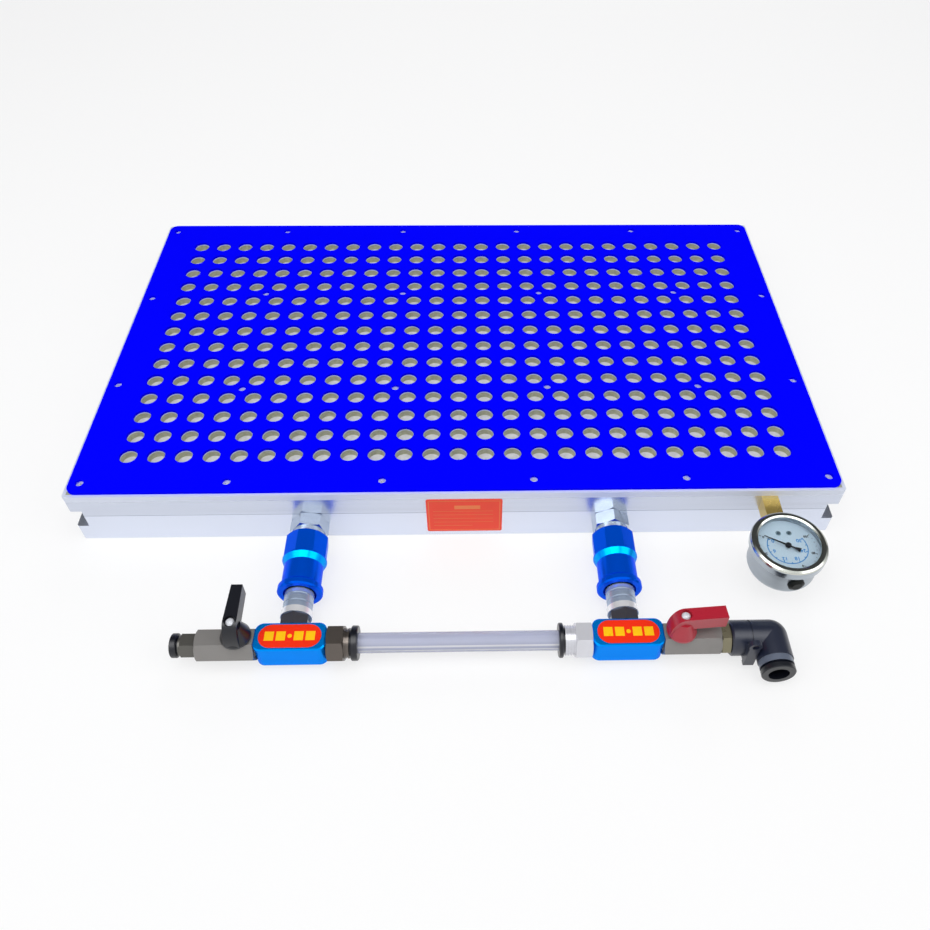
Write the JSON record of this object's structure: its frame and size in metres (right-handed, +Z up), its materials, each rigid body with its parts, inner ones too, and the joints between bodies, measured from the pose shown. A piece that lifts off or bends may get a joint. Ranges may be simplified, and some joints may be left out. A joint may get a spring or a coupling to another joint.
{
  "type": "vacuum chuck",
  "caption": "Flat vacuum workholding plate with a grid of suction holes, front quick couplers, a tube manifold with ball valves and a round gauge.",
  "frame": {"origin": "centre of the chuck's underside, on the surface that it rests on", "axes": "+X along the chuck towards the gauge's end, +Y away from the face with the couplers, +Z up through the suction face"},
  "size_m": [0.5, 0.413, 0.045],
  "materials": {
    "machined_aluminium": "fly-cut, bright",
    "throttle_aluminium": "satin",
    "blue_mat": "smooth, slightly grippy",
    "seal_rubber": "smooth",
    "zinc_screws": "bright zinc",
    "front_label": "printed film",
    "blue_sleeve": "anodised, glossy",
    "nickel": "satin nickel plate",
    "bright_steel": "polished",
    "seat_plastic": "waxy",
    "blue_block": "anodised, satin",
    "red_label": "printed film",
    "black_plastic": "moulded",
    "red_plastic": "moulded",
    "elbow_plastic": "moulded",
    "clear_tube": "clear, slightly milky",
    "brass": "turned",
    "gauge_steel": "brushed",
    "gauge_ring": "polished",
    "plug_rubber": "smooth",
    "gauge_glass": "clear",
    "dial_face": "printed",
    "dial_parts": "satin"
  },
  "bodies": {
    "chuck": {"chamber_base": "machined_aluminium", "top_plate": "machined_aluminium", "throttle_sheet": "throttle_aluminium", "anti_slip_mat": "blue_mat", "plate_seal": "seal_rubber", "left_coupler_seal": "seal_rubber", "right_coupler_seal": "seal_rubber", "plate_screws": "zinc_screws", "front_label": "front_label", "left_coupler_socket": "nickel", "left_coupler_plug": "nickel", "left_tube_fitting": "nickel", "left_valve_body": "nickel", "left_end_insert": "nickel", "left_stop_ring": "nickel", "right_coupler_socket": "nickel", "right_coupler_plug": "nickel", "right_tube_fitting": "nickel", "right_valve_body": "nickel", "right_end_insert": "nickel", "right_stop_ring": "nickel", "drain_fitting": "nickel", "left_locking_balls": "bright_steel", "left_sleeve_spring": "bright_steel", "right_locking_balls": "bright_steel", "right_sleeve_spring": "bright_steel", "left_ball_seats": "seat_plastic", "right_ball_seats": "seat_plastic", "left_manifold_block": "blue_block", "right_manifold_block": "blue_block", "left_block_label": "red_label", "right_block_label": "red_label", "clear_tube": "clear_tube", "elbow_adapter": "brass", "gauge_stem": "brass", "gauge_movement": "brass", "bourdon_tube": "brass", "gauge_case": "gauge_steel", "gauge_bezel": "gauge_ring", "gauge_fill_plug": "plug_rubber", "gauge_window": "gauge_glass", "gauge_dial": "dial_face", "dial_screws": "dial_parts"},
    "left_lever": {"left_valve_lever": "black_plastic", "left_lever_screw": "zinc_screws", "left_valve_stem": "bright_steel", "left_valve_ball": "nickel"},
    "right_lever": {"right_valve_lever": "red_plastic", "right_lever_screw": "zinc_screws", "right_valve_stem": "bright_steel", "right_valve_ball": "nickel"},
    "left_sleeve": {"left_coupler_sleeve": "blue_sleeve"},
    "right_sleeve": {"right_coupler_sleeve": "blue_sleeve"},
    "pointer": {"gauge_pointer": "dial_parts"},
    "elbow": {"push_in_elbow": "elbow_plastic"},
    "elbow_release": {"elbow_collar": "black_plastic"},
    "left_tube_release": {"left_tube_collar": "black_plastic"},
    "right_tube_release": {"right_tube_collar": "black_plastic"},
    "drain_release": {"drain_collar": "black_plastic"}
  },
  "joints": [
    {"name": "left_lever_turn", "type": "hinge", "parent": "chuck", "child": "left_lever", "pos_m": [-0.1285, -0.239, 0.036], "axis": [0, 0, 1], "range_deg": [0, 90]},
    {"name": "right_lever_turn", "type": "hinge", "parent": "chuck", "child": "right_lever", "pos_m": [0.131, -0.239, 0.036], "axis": [0, 0, 1], "range_deg": [0, 90]},
    {"name": "left_sleeve_pull", "type": "slide", "parent": "chuck", "child": "left_sleeve", "axis": [0, 1, 0], "range_m": [0, 0.004], "stiffness_N_per_m": 640, "springref_m": -0.008, "deforming": ["left_sleeve_spring"]},
    {"name": "right_sleeve_pull", "type": "slide", "parent": "chuck", "child": "right_sleeve", "axis": [0, 1, 0], "range_m": [0, 0.004], "stiffness_N_per_m": 640, "springref_m": -0.008, "deforming": ["right_sleeve_spring"]},
    {"name": "pointer_turn", "type": "hinge", "parent": "chuck", "child": "pointer", "pos_m": [0.2025, -0.1905, 0.0392], "axis": [0, 0, 1], "range_deg": [0, 240]},
    {"name": "elbow_swivel", "type": "hinge", "parent": "chuck", "child": "elbow", "pos_m": [0.165, -0.239, 0.0144], "axis": [1, 0, 0], "range_deg": [-135, 10]},
    {"name": "elbow_collar_push", "type": "slide", "parent": "elbow", "child": "elbow_release", "axis": [0, 1, 0], "range_m": [0, 0.0009], "stiffness_N_per_m": 600, "springref_m": -0.001},
    {"name": "left_tube_collar_push", "type": "slide", "parent": "chuck", "child": "left_tube_release", "axis": [-1, 0, 0], "range_m": [0, 0.0009], "stiffness_N_per_m": 600, "springref_m": -0.001},
    {"name": "right_tube_collar_push", "type": "slide", "parent": "chuck", "child": "right_tube_release", "axis": [1, 0, 0], "range_m": [0, 0.0009], "stiffness_N_per_m": 600, "springref_m": -0.001},
    {"name": "drain_collar_push", "type": "slide", "parent": "chuck", "child": "drain_release", "axis": [1, 0, 0], "range_m": [0, 0.0009], "stiffness_N_per_m": 600, "springref_m": -0.001}
  ]
}
